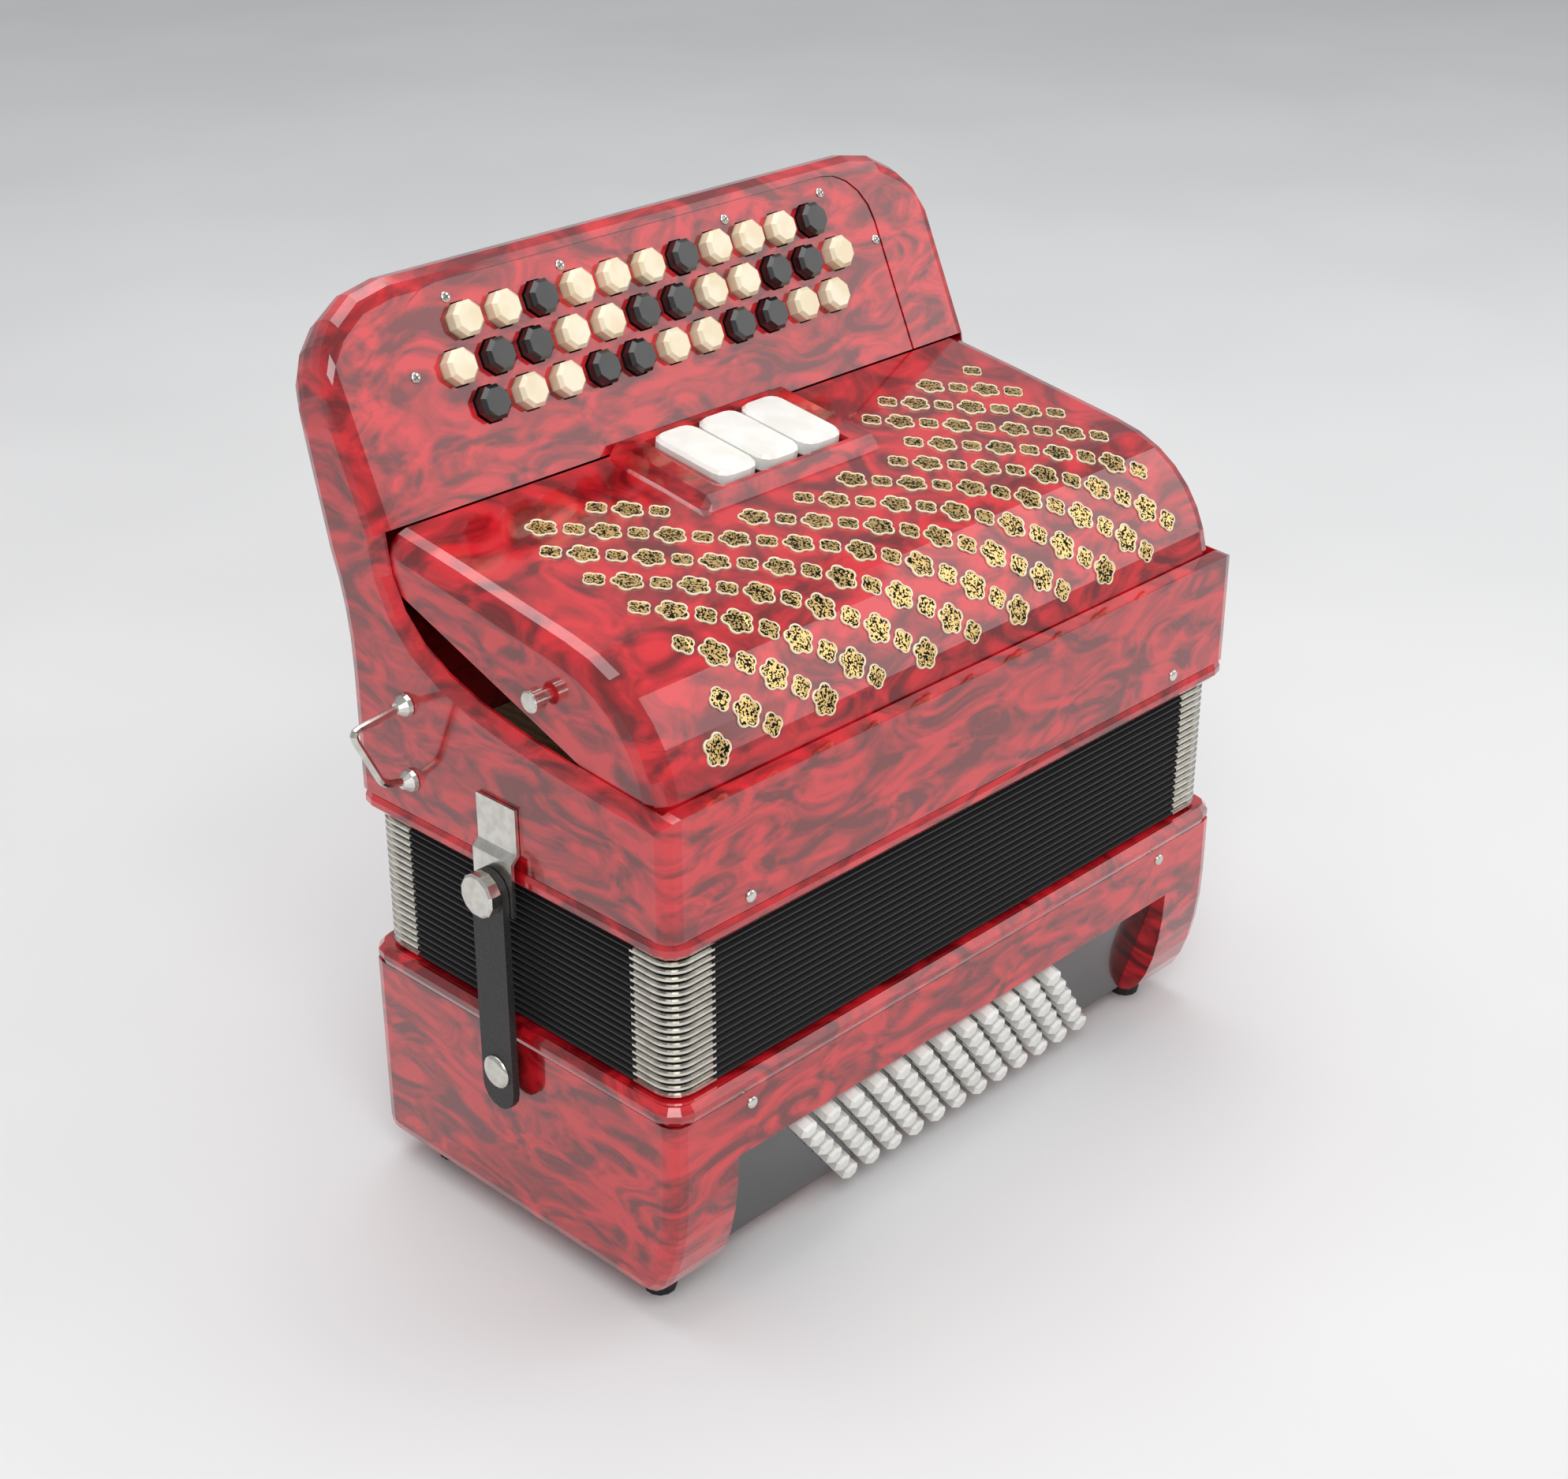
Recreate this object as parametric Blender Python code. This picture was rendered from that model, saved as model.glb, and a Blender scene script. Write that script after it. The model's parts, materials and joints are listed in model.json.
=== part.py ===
"""Chromatic button accordion, standing on its bass end.

Metres, +Z up. X runs along the keyboard, -Y is the front with the bass buttons, and the floor is z = 0.
Side profiles are drawn in two numbers: the depth back from the casing's front face, and the height.
"""

import math

import bmesh
import bpy
from mathutils import Matrix, Vector

# Casing
CASE_LENGTH = 0.345
CASE_DEPTH = 0.183
EDGE_FILLET = 0.007
SEAT_GAP = 0.0003
FRONT_Y = -0.1050

# Heights of the stack
FOOT_HEIGHT = 0.0113
BASS_HEIGHT = 0.0877
FRAME_HEIGHT = 0.008
BELLOWS_HEIGHT = 0.065
RIM_HEIGHT = 0.051

# Bass casing
BASS_WALL = 0.006
BASS_NOSE_DEPTH = 0.0204
BASS_NOSE_HEIGHT = 0.0603
BASS_HEEL_RADIUS = 0.008

# Bass button recess and board
RECESS_HALF_WIDTH = 0.1385
RECESS_TOP_ABOVE_BASE = 0.0597
BOARD_TOP_DEPTH = 0.0052
BOARD_TILT = math.radians(16.3)
BOARD_THICKNESS = 0.003
BOARD_FLANGE = 0.003
RECESS_LINER = 0.0035
BOARD_WINDOW_MARGIN = 0.010
BOARD_WINDOW_EDGE = 0.0008

# Bass buttons
BASS_COLUMNS = 12
BASS_ROWS = 6
BASS_PITCH = 0.0142
BASS_ROW_SHIFT = 0.0081
BASS_ROW_SPACING = 0.0102
BASS_FIRST_ROW = 0.0055
BASS_FIELD_CENTRE = -0.0215
BASS_BUTTON_RADIUS = 0.0045
BASS_BUTTON_RISE = 0.009
BASS_BUTTON_CROWN = 0.0012
BASS_HOLE_CLEARANCE = 0.0006
BASS_BUTTON_SIDES = 6
LINK_PLATE_GAP = 0.0005
LINK_PLATE_THICKNESS = 0.0015
LINK_PLATE_MARGIN = 0.0040

# Bass end: feet and air button
FOOT_X = 0.154
FOOT_FRONT = 0.0300
FOOT_BACK = 0.160
FOOT_TOP_RADIUS = 0.009
FOOT_BOTTOM_RADIUS = 0.0065
ROUND_SIDES = 12
AIR_BUTTON_X = -0.112
AIR_BUTTON_DEPTH = 0.142
AIR_BUTTON_RADIUS = 0.0065
AIR_BUTTON_CLEARANCE = 0.0007
AIR_BUTTON_RISE = 0.0055
AIR_BUTTON_SHANK = 0.009

# Bellows and its frames
BELLOWS_FOLDS = 20
BELLOWS_INSET = 0.0042
FOLD_DEPTH = 0.006
FOLD_WALL = 0.0026
BELLOWS_CORNER = 0.013
BEAD_PROUD = 0.0009
FRAME_WIDTH = 0.014
SPIGOT_HEIGHT = 0.004
SPIGOT_WIDTH = 0.004

# Treble casing
TREBLE_END_WALL = 0.0045
TREBLE_FRONT_WALL = 0.007
TREBLE_BACK_WALL = 0.0045
LEDGE_RUN = 0.156
LEDGE_RISE = 0.065
BACK_BEND_HEIGHT = 0.053

# Fingerboard
BOARD_LEAN = math.radians(24.5)
FINGERBOARD_FOOT_DEPTH = 0.1565
FINGERBOARD_TOP = 0.094
FINGERBOARD_CORNER = 0.042
FINGERBOARD_EDGE = 0.010
FINGERBOARD_THICK_FOOT = 0.0385
FINGERBOARD_TAPER = 0.19
FINGERBOARD_FRONT_WALL = 0.0055

# Button panel
PANEL_HALF_WIDTH = 0.1345
PANEL_TOP = 0.0855
PANEL_FOOT = 0.0006
PANEL_CORNER = 0.025
PANEL_RECESS = 0.0006
PANEL_THICKNESS = 0.0026
PANEL_LIP = 0.006

# Treble buttons
TREBLE_PITCH = 0.0197
TREBLE_ROW_COUNTS = (11, 12, 11)
TREBLE_TOP_ROW = 0.0687
TREBLE_FIELD_CENTRE = -0.0037
TREBLE_BUTTON_RADIUS = 0.0075
TREBLE_BUTTON_RISE = 0.0055
TREBLE_BUTTON_SHANK = 0.006
TREBLE_STEM_LENGTH = 0.008
TREBLE_STEM_RADIUS = 0.002
TREBLE_HOLE_CLEARANCE = 0.0007
TREBLE_BUTTON_SIDES = 8
BUTTON_CROWN = 0.0016

# Grille cover
COVER_THICKNESS = 0.0025
COVER_SKIRT = 0.009
COVER_EDGE = 0.009
COVER_SHOULDER_DEPTH = 0.062
COVER_SHOULDER_DROP = 0.0148

# Register switches and their surround
SWITCH_COUNT = 3
SWITCH_PITCH = 0.025
SWITCH_WIDTH = 0.023
SWITCH_LENGTH = 0.043
SWITCH_THICKNESS = 0.008
SWITCH_CENTRE_X = -0.002
SWITCH_FRONT_DEPTH = 0.106
SWITCH_SLOPE = math.radians(8.4)
SWITCH_PROUD = 0.0035
SWITCH_CLEARANCE = 0.0008
HOOD_MARGIN_SIDE = 0.011
HOOD_MARGIN_FRONT = 0.008
HOOD_RISE = 0.005

# Inside
SOUNDBOARD_THICKNESS = 0.006
SOUNDBOARD_ABOVE_SEAM = 0.0055
REED_BLOCK_LENGTH = 0.290
REED_BLOCK_WIDTH = 0.022
REED_BLOCK_HEIGHT = 0.040
REED_BLOCK_PITCH = 0.045
BASS_BLOCK_HEIGHT = 0.026

# Strap brackets, hinge plates and bellows straps
BRACKET_DEPTH = 0.146
BRACKET_TOP = 0.049
BRACKET_SPACING = 0.033
BRACKET_WIRE = 0.0017
BRACKET_TOP_REACH = 0.0267
BRACKET_LOW_REACH = 0.0136
BRACKET_LEG_DRIFT = 0.003
BRACKET_BEND = 0.004
FERRULE_RADIUS = 0.005
FERRULE_LENGTH = 0.005
STRAP_DEPTH = 0.093
KNOB_BELOW_SEAM = 0.0098
PLATE_WIDTH = 0.0225
PLATE_THICKNESS = 0.0015
PLATE_ABOVE_SEAM = 0.027
PLATE_JOGGLE = 0.0031
KNOB_RADIUS = 0.0093
KNOB_NECK = 0.003
KNOB_HEAD = 0.0054
STRAP_THICKNESS = 0.0032
STRAP_WIDTH = 0.0185
STRAP_REACH = 0.1000
STRAP_CLEARANCE = 0.0003

# Worked out from the sizes above
HALF_LENGTH = CASE_LENGTH / 2
BASS_BASE = FOOT_HEIGHT
BASS_SEAM = BASS_BASE + BASS_HEIGHT
BELLOWS_BASE = BASS_SEAM + FRAME_HEIGHT
BELLOWS_TOP = BELLOWS_BASE + BELLOWS_HEIGHT
TREBLE_SEAM = BELLOWS_TOP + FRAME_HEIGHT
RIM_TOP = TREBLE_SEAM + RIM_HEIGHT
BOARD_FOOT_HEIGHT = RIM_TOP + LEDGE_RISE
RECESS_TOP = BASS_BASE + RECESS_TOP_ABOVE_BASE
KNOB_HEIGHT = TREBLE_SEAM - KNOB_BELOW_SEAM


def clear_scene():
    """Remove every object that the file opened with."""
    for obj in list(bpy.data.objects):
        bpy.data.objects.remove(obj, do_unlink=True)


def make_material(name, colour, roughness, metallic=0.0):
    """A Principled material in one colour."""
    material = bpy.data.materials.new(name)
    material.use_nodes = True
    shader = material.node_tree.nodes["Principled BSDF"]
    shader.inputs["Base Color"].default_value = (*colour, 1.0)
    shader.inputs["Roughness"].default_value = roughness
    shader.inputs["Metallic"].default_value = metallic
    return material


def make_empty(name, location):
    """An empty that carries the pieces of one moving half."""
    empty = bpy.data.objects.new(name, None)
    empty.location = location
    bpy.context.scene.collection.objects.link(empty)
    return empty


def add_object(name, bm, material=None, parent=None, smooth_angle=30.0):
    """Turn a bmesh into a linked object with its faces pointing out."""
    bmesh.ops.recalc_face_normals(bm, faces=bm.faces)
    mesh = bpy.data.meshes.new(name)
    bm.to_mesh(mesh)
    bm.free()
    mesh.shade_smooth()
    mesh.set_sharp_from_angle(angle=math.radians(smooth_angle))
    obj = bpy.data.objects.new(name, mesh)
    if material:
        mesh.materials.append(material)
    bpy.context.scene.collection.objects.link(obj)
    if parent:
        obj.parent = parent
        obj.matrix_parent_inverse = Matrix.Translation(-parent.location)
    return obj


def add_cutter(name, bm):
    """A hidden mesh that a Boolean modifier reads."""
    cutter = add_object(name, bm)
    cutter.hide_render = True
    cutter.display_type = "WIRE"
    return cutter


def combine(obj, other, operation="DIFFERENCE"):
    """Put an exact Boolean on an object."""
    modifier = obj.modifiers.new(other.name, "BOOLEAN")
    modifier.object = other
    modifier.operation = operation
    modifier.solver = "EXACT"


def place(x, depth, height):
    """World position of a point given by its depth behind the front face."""
    return Vector((x, FRONT_Y + depth, height))


def add_loft(bm, rings):
    """Bridge rings of equal length and close both ends."""
    loops = []
    for ring in rings:
        loops.append([bm.verts.new(point) for point in ring])
    count = len(loops[0])
    for lower, upper in zip(loops, loops[1:]):
        for i in range(count):
            j = (i + 1) % count
            bm.faces.new((lower[i], lower[j], upper[j], upper[i]))
    bm.faces.new(loops[0])
    bm.faces.new(loops[-1])


def add_tube(bm, outer_rings, inner_rings):
    """Bridge outer and inner rings into an open-ended tube with a wall."""
    stack = outer_rings + inner_rings[::-1]
    loops = []
    for ring in stack:
        loops.append([bm.verts.new(point) for point in ring])
    loops.append(loops[0])
    count = len(loops[0])
    for lower, upper in zip(loops, loops[1:]):
        for i in range(count):
            j = (i + 1) % count
            bm.faces.new((lower[i], lower[j], upper[j], upper[i]))


def side_prism(profile, x_low, x_high):
    """A bmesh with a side profile extruded along X."""
    bm = bmesh.new()
    add_loft(bm, [[place(x, d, z) for d, z in profile] for x in (x_low, x_high)])
    return bm


def box(x_low, x_high, depth_low, depth_high, z_low, z_high):
    """A bmesh box given by its limits."""
    profile = ((depth_low, z_low), (depth_high, z_low), (depth_high, z_high), (depth_low, z_high))
    return side_prism(profile, x_low, x_high)


def turn(bm, profile, sides, matrix=None):
    """Turn a profile of (radius, height) about Z, from bottom to top."""
    matrix = matrix or Matrix.Identity(4)
    rings = []
    for radius, height in profile:
        ring = []
        for i in range(sides):
            angle = 2 * math.pi * (i + 0.5) / sides
            ring.append(matrix @ Vector((radius * math.cos(angle), radius * math.sin(angle), height)))
        rings.append(ring)
    add_loft(bm, rings)


def rounded_rectangle(half_x, half_y, radius, segments):
    """Points of a rectangle with round corners, centred on zero."""
    points = []
    for quarter in range(4):
        centre_x = (half_x - radius) * (1 if quarter in (0, 3) else -1)
        centre_y = (half_y - radius) * (1 if quarter in (0, 1) else -1)
        for step in range(segments + 1):
            angle = math.pi / 2 * (quarter + step / segments)
            points.append((centre_x + radius * math.cos(angle), centre_y + radius * math.sin(angle)))
    return points


def curve_points(start, lead, follow, end, count):
    """Points along a cubic curve, both ends included."""
    points = []
    for step in range(count + 1):
        t = step / count
        weights = ((1 - t) ** 3, 3 * t * (1 - t) ** 2, 3 * t * t * (1 - t), t ** 3)
        corners = (start, lead, follow, end)
        points.append(tuple(sum(w * c[k] for w, c in zip(weights, corners)) for k in (0, 1)))
    return points


def inset_profile(profile, distance):
    """Move every side of a closed profile inwards by the same distance."""
    count = len(profile)
    area = sum(profile[i - 1][0] * profile[i][1] - profile[i][0] * profile[i - 1][1] for i in range(count))
    turn_sign = 1 if area > 0 else -1
    moved = []
    for i in range(count):
        before = Vector(profile[i]) - Vector(profile[i - 1])
        after = Vector(profile[(i + 1) % count]) - Vector(profile[i])
        before.normalize()
        after.normalize()
        normal_before = Vector((-before.y, before.x)) * turn_sign
        normal_after = Vector((-after.y, after.x)) * turn_sign
        mitre = normal_before + normal_after
        mitre *= distance / mitre.dot(normal_after)
        moved.append((profile[i][0] + mitre.x, profile[i][1] + mitre.y))
    return moved


def fillet_inset(x, half_length, radius):
    """How far a rounded end edge has drawn in at a given x."""
    past = max(0.0, abs(x) - (half_length - radius))
    return radius - math.sqrt(max(0.0, radius ** 2 - past ** 2))


def mirrored_stations(stations):
    """Stations along X on both sides of the middle, from left to right."""
    return [-x for x in reversed(stations)] + list(stations)


def fillet_stations(half_length, radius):
    """Stations where a rounded end edge turns in, ending on the end face."""
    angles = (0, 30, 60, 90)
    return [half_length - radius + radius * math.sin(math.radians(a)) for a in angles]


# Fingerboard geometry: s runs up its front plane, q goes straight into it
def on_fingerboard(s, q):
    """Depth and height of a point on the leaning fingerboard."""
    depth = FINGERBOARD_FOOT_DEPTH + s * math.sin(BOARD_LEAN) + q * math.cos(BOARD_LEAN)
    height = BOARD_FOOT_HEIGHT + s * math.cos(BOARD_LEAN) - q * math.sin(BOARD_LEAN)
    return depth, height


def fingerboard_matrix(x, s, q=0.0):
    """Frame on the fingerboard: local Z points out of it, local Y up it."""
    depth, height = on_fingerboard(s, q)
    turn_back = Matrix.Rotation(math.pi / 2 - BOARD_LEAN, 4, "X")
    return Matrix.Translation(place(x, depth, height)) @ turn_back


def fingerboard_thickness(s):
    """Thickness of the housing at a height on the fingerboard."""
    return FINGERBOARD_THICK_FOOT - FINGERBOARD_TAPER * s


def corner_drop(x, half_length, radius):
    """How far the round top corner has dropped at a given x."""
    past = max(0.0, abs(x) - (half_length - radius))
    return radius - math.sqrt(max(0.0, radius ** 2 - past ** 2))


def treble_profile(top):
    """Side profile of the treble casing, with the fingerboard cut off at s = top."""
    ledge = curve_points((0.0, RIM_TOP), (0.62 * LEDGE_RUN, RIM_TOP + 0.11 * LEDGE_RISE),
                         (0.995 * LEDGE_RUN, RIM_TOP + 0.18 * LEDGE_RISE),
                         (FINGERBOARD_FOOT_DEPTH, BOARD_FOOT_HEIGHT), 9)
    profile = [(0.0, TREBLE_SEAM)] + ledge
    edge = FINGERBOARD_EDGE
    steps = 3
    for step in range(steps + 1):
        angle = math.pi / 2 * step / steps
        profile.append(on_fingerboard(top - edge + edge * math.sin(angle), edge - edge * math.cos(angle)))
    back = fingerboard_thickness(top - edge)
    for step in range(steps + 1):
        angle = math.pi / 2 * step / steps
        profile.append(on_fingerboard(top - edge + edge * math.cos(angle), back - edge + edge * math.sin(angle)))
    foot_depth, foot_height = on_fingerboard(0.0, fingerboard_thickness(0.0))
    bend_height = TREBLE_SEAM + BACK_BEND_HEIGHT
    profile += curve_points((foot_depth, foot_height), (CASE_DEPTH + 0.003, foot_height - 0.014),
                            (CASE_DEPTH, bend_height + 0.018), (CASE_DEPTH, bend_height), 4)
    profile.append((CASE_DEPTH, TREBLE_SEAM))
    return profile


def treble_body():
    """Outer solid of the treble casing, lofted along X."""
    straight = HALF_LENGTH - FINGERBOARD_CORNER
    stations = [straight + FINGERBOARD_CORNER * math.sin(math.radians(a)) for a in (0, 22, 41)]
    stations += fillet_stations(HALF_LENGTH, EDGE_FILLET)
    rings = []
    for x in mirrored_stations(stations):
        top = FINGERBOARD_TOP - corner_drop(x, HALF_LENGTH, FINGERBOARD_CORNER)
        profile = inset_profile(treble_profile(top), fillet_inset(x, HALF_LENGTH, EDGE_FILLET))
        rings.append([place(x, d, max(z, TREBLE_SEAM)) for d, z in profile])
    for ring in rings:
        ring[0].z = TREBLE_SEAM
        ring[-1].z = TREBLE_SEAM
    bm = bmesh.new()
    add_loft(bm, rings)
    return bm


def treble_hollow():
    """Everything inside the treble casing, open below and above the ledge."""
    half = HALF_LENGTH - TREBLE_END_WALL
    radius = FINGERBOARD_CORNER - TREBLE_END_WALL
    sill = 2 * SEAT_GAP
    past = 0.002
    stations = [half - radius + radius * math.sin(math.radians(a)) for a in (0, 25, 50, 90)]
    rings = []
    for x in mirrored_stations(stations):
        top = FINGERBOARD_TOP - FINGERBOARD_FRONT_WALL - corner_drop(x, half, radius)
        wall = FINGERBOARD_FRONT_WALL
        bend = TREBLE_SEAM + BACK_BEND_HEIGHT
        inner_back = CASE_DEPTH - TREBLE_BACK_WALL
        profile = [(TREBLE_FRONT_WALL, TREBLE_SEAM - past), (TREBLE_FRONT_WALL, BOARD_FOOT_HEIGHT + past),
                   on_fingerboard(sill, -3 * past), on_fingerboard(sill, wall), on_fingerboard(top, wall),
                   on_fingerboard(top, fingerboard_thickness(top) - TREBLE_BACK_WALL),
                   on_fingerboard(0.0, fingerboard_thickness(0.0) - TREBLE_BACK_WALL),
                   (inner_back, bend), (inner_back, TREBLE_SEAM - past)]
        rings.append([place(x, d, z) for d, z in profile])
    bm = bmesh.new()
    add_loft(bm, rings)
    return bm


def panel_outline(margin):
    """Outline of the button panel on the fingerboard, grown by a margin."""
    half = PANEL_HALF_WIDTH + margin
    top = PANEL_TOP + margin
    radius = PANEL_CORNER + margin
    points = [(half, PANEL_FOOT - margin)]
    steps = 5
    for quarter, centre_x in ((0, half - radius), (1, radius - half)):
        for step in range(steps + 1):
            angle = math.pi / 2 * (quarter + step / steps)
            points.append((centre_x + radius * math.cos(angle), top - radius + radius * math.sin(angle)))
    points.append((-half, PANEL_FOOT - margin))
    return points


def panel_slab(margin, q_low, q_high):
    """A slab with the panel's outline between two depths in the fingerboard."""
    bm = bmesh.new()
    rings = []
    for q in (q_low, q_high):
        frame = fingerboard_matrix(0.0, 0.0, q)
        rings.append([frame @ Vector((x, s, 0.0)) for x, s in panel_outline(margin)])
    add_loft(bm, rings)
    return bm


def build_treble_casing(material, parent):
    """Treble casing: a shell with the leaning fingerboard housing."""
    casing = add_object("treble_casing", treble_body(), material, parent)
    combine(casing, add_cutter("treble_hollow_cutter", treble_hollow()))
    seat = PANEL_RECESS + PANEL_THICKNESS + SEAT_GAP
    above = 0.004
    combine(casing, add_cutter("panel_seat_cutter", panel_slab(SEAT_GAP, -above, seat)))
    combine(casing, add_cutter("panel_window_cutter", panel_slab(-PANEL_LIP, -above, seat + above)))


def treble_button_places():
    """Row, number, x and s of every treble button."""
    row_spacing = TREBLE_PITCH * math.sin(math.radians(60))
    for row, count in enumerate(TREBLE_ROW_COUNTS):
        s = TREBLE_TOP_ROW - row * row_spacing
        for number in range(count):
            x = TREBLE_FIELD_CENTRE + (number - (count - 1) / 2) * TREBLE_PITCH
            yield row + 1, number + 1, x, s


def build_button_panel(material, parent):
    """Button panel: a thin plate with a hole for every treble button."""
    back = PANEL_RECESS + PANEL_THICKNESS
    panel = add_object("button_panel", panel_slab(0.0, PANEL_RECESS, back), material, parent)
    holes = bmesh.new()
    radius = TREBLE_BUTTON_RADIUS + TREBLE_HOLE_CLEARANCE
    for _, _, x, s in treble_button_places():
        frame = fingerboard_matrix(x, s)
        turn(holes, ((radius, -2 * back), (radius, back)), TREBLE_BUTTON_SIDES, frame)
    combine(panel, add_cutter("button_holes_cutter", holes))


def is_black(row, number):
    """Black and cream buttons as the keyboard shows them."""
    black_buttons = {1: (3, 7, 11), 2: (2, 3, 6, 7, 10, 11), 3: (1, 4, 5, 8, 9)}
    return number in black_buttons[row]


def build_treble_buttons(black, cream, parent):
    """Treble buttons, each with its origin on its own axis."""
    radius = TREBLE_BUTTON_RADIUS
    stem_end = -TREBLE_BUTTON_SHANK - TREBLE_STEM_LENGTH
    profile = ((TREBLE_STEM_RADIUS, stem_end), (TREBLE_STEM_RADIUS, -TREBLE_BUTTON_SHANK),
               (radius, -TREBLE_BUTTON_SHANK), (radius, TREBLE_BUTTON_RISE - BUTTON_CROWN),
               (radius - BUTTON_CROWN, TREBLE_BUTTON_RISE))
    for row, number, x, s in treble_button_places():
        bm = bmesh.new()
        turn(bm, profile, TREBLE_BUTTON_SIDES)
        material = black if is_black(row, number) else cream
        button = add_object(f"treble_button_{row}_{number:02d}", bm, material, parent)
        button.matrix_basis = fingerboard_matrix(x, s)


# Grille cover
def cover_profile(offset=0.0):
    """Outer line of the cover from its front foot to its back edge, moved in by an offset."""
    foot = TREBLE_FRONT_WALL + SEAT_GAP
    back_depth, back_height = on_fingerboard(0.0, 0.0)
    shoulder = (COVER_SHOULDER_DEPTH, BOARD_FOOT_HEIGHT - COVER_SHOULDER_DROP)
    low = RIM_TOP - COVER_SKIRT
    front = curve_points((foot, low), (foot + 0.0005, low + 0.026), (0.024, shoulder[1] - 0.0055), shoulder, 8)
    top = curve_points(shoulder, (0.085, shoulder[1] + 0.0035), (0.125, back_height - 0.004),
                       (back_depth - 2 * SEAT_GAP, back_height), 3)
    line = front + top[1:]
    moved = []
    for i, point in enumerate(line):
        before = Vector(line[max(i - 1, 0)])
        after = Vector(line[min(i + 1, len(line) - 1)])
        along = (after - before).normalized()
        moved.append((point[0] + along.y * offset, point[1] - along.x * offset))
    return moved


def cover_height(depth):
    """Height of the cover's outer surface at a depth."""
    line = cover_profile()
    for (d0, z0), (d1, z1) in zip(line, line[1:]):
        if d0 <= depth <= d1:
            return z0 + (z1 - z0) * (depth - d0) / (d1 - d0)
    return line[-1][1]


def cover_rings(half_length, edge, offset, back_low, floor):
    """Rings of a domed solid under the cover's line, with rounded ends."""
    stations = fillet_stations(half_length, edge)
    rings = []
    for x in mirrored_stations(stations):
        drawn = fillet_inset(x, half_length, edge)
        line = cover_profile(offset + drawn)
        back = cover_profile(offset)[-1][0]
        ring = [(line[0][0], floor)] + line[1:-1] + [(back, line[-1][1]), (back, back_low)]
        rings.append([place(x, d, z) for d, z in ring])
    return rings


def hood_block(rise, margin):
    """Block over the register switches, following the cover's slope."""
    half = SWITCH_COUNT * SWITCH_PITCH / 2 + margin
    front = SWITCH_FRONT_DEPTH - HOOD_MARGIN_FRONT
    back = on_fingerboard(0.0, 0.0)[0] - 3 * SEAT_GAP
    lead = 0.005
    low = (front, cover_height(front) - 0.001)
    profile = [low, (front + lead * 0.4, cover_height(front) + rise * 0.6),
               (front + lead, cover_height(front + lead) + rise), (back, cover_height(back) + rise),
               (back, cover_height(back) - 0.001)]
    slope = 0.004
    middle = SWITCH_CENTRE_X
    rings = []
    for x, drop in ((-half - slope, 1.0), (-half - slope * 0.4, 0.4), (-half, 0.0),
                    (half, 0.0), (half + slope * 0.4, 0.4), (half + slope, 1.0)):
        ring = []
        for i, (d, z) in enumerate(profile):
            lowered = z - drop * rise * 1.02 if 0 < i < 4 else z
            ring.append(place(middle + x, d, lowered))
        rings.append(ring)
    bm = bmesh.new()
    add_loft(bm, rings)
    return bm


def well_box():
    """The well that the register switches stand in."""
    half = ((SWITCH_COUNT - 1) * SWITCH_PITCH + SWITCH_WIDTH) / 2 + SWITCH_CLEARANCE
    front = SWITCH_FRONT_DEPTH - SWITCH_CLEARANCE
    reach = SWITCH_LENGTH * math.cos(SWITCH_SLOPE) + SWITCH_THICKNESS * math.sin(SWITCH_SLOPE)
    back = SWITCH_FRONT_DEPTH + reach + SWITCH_CLEARANCE
    low = cover_height(front) - 0.012
    return box(SWITCH_CENTRE_X - half, SWITCH_CENTRE_X + half, front, back, low, low + 0.04)


def build_grille_cover(material, parent):
    """Domed grille cover with the register surround."""
    half = HALF_LENGTH - TREBLE_END_WALL - SEAT_GAP
    floor = RIM_TOP - COVER_SKIRT
    back_low = BOARD_FOOT_HEIGHT - 0.022
    outer = bmesh.new()
    add_loft(outer, cover_rings(half, COVER_EDGE, 0.0, back_low, floor))
    cover = add_object("grille_cover", outer, material, parent)
    inner = bmesh.new()
    wall = COVER_THICKNESS
    past = 0.004
    rings = cover_rings(half - wall, COVER_EDGE - wall, wall, back_low - 2 * past, floor - 3 * past)
    for ring in rings:
        ring[-1].y += past
        ring[-2].y += past
    add_loft(inner, rings)
    combine(cover, add_cutter("hood_block", hood_block(HOOD_RISE, HOOD_MARGIN_SIDE)), "UNION")
    combine(cover, add_cutter("cover_hollow_cutter", inner))
    combine(cover, add_cutter("switch_well_cutter", well_box()))


def build_register_switches(material, parent):
    """Register switches: rocking paddles hinged at their back end."""
    corner = 0.0065
    edge = 0.0014
    half_width = SWITCH_WIDTH / 2
    half_length = SWITCH_LENGTH / 2
    hinge_back = 0.004
    hinge_down = 0.006
    for number in range(SWITCH_COUNT):
        x = SWITCH_CENTRE_X + (number - (SWITCH_COUNT - 1) / 2) * SWITCH_PITCH
        bm = bmesh.new()
        rings = []
        for inset, height in ((edge, -SWITCH_THICKNESS), (0.0, -SWITCH_THICKNESS + edge), (0.0, -edge), (edge, 0.0)):
            outline = rounded_rectangle(half_width - inset, half_length - inset, corner - inset, 3)
            rings.append([Vector((px, py - half_length + hinge_back, height + hinge_down)) for px, py in outline])
        add_loft(bm, rings)
        switch = add_object(f"register_switch_{number + 1}", bm, material, parent)
        front_height = cover_height(SWITCH_FRONT_DEPTH) + HOOD_RISE + SWITCH_PROUD
        run = SWITCH_LENGTH - hinge_back
        depth = SWITCH_FRONT_DEPTH + run * math.cos(SWITCH_SLOPE) + hinge_down * math.sin(SWITCH_SLOPE)
        height = front_height + run * math.sin(SWITCH_SLOPE) - hinge_down * math.cos(SWITCH_SLOPE)
        turn_up = Matrix.Rotation(SWITCH_SLOPE, 4, "X")
        switch.matrix_basis = Matrix.Translation(place(x, depth, height)) @ turn_up


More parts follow.
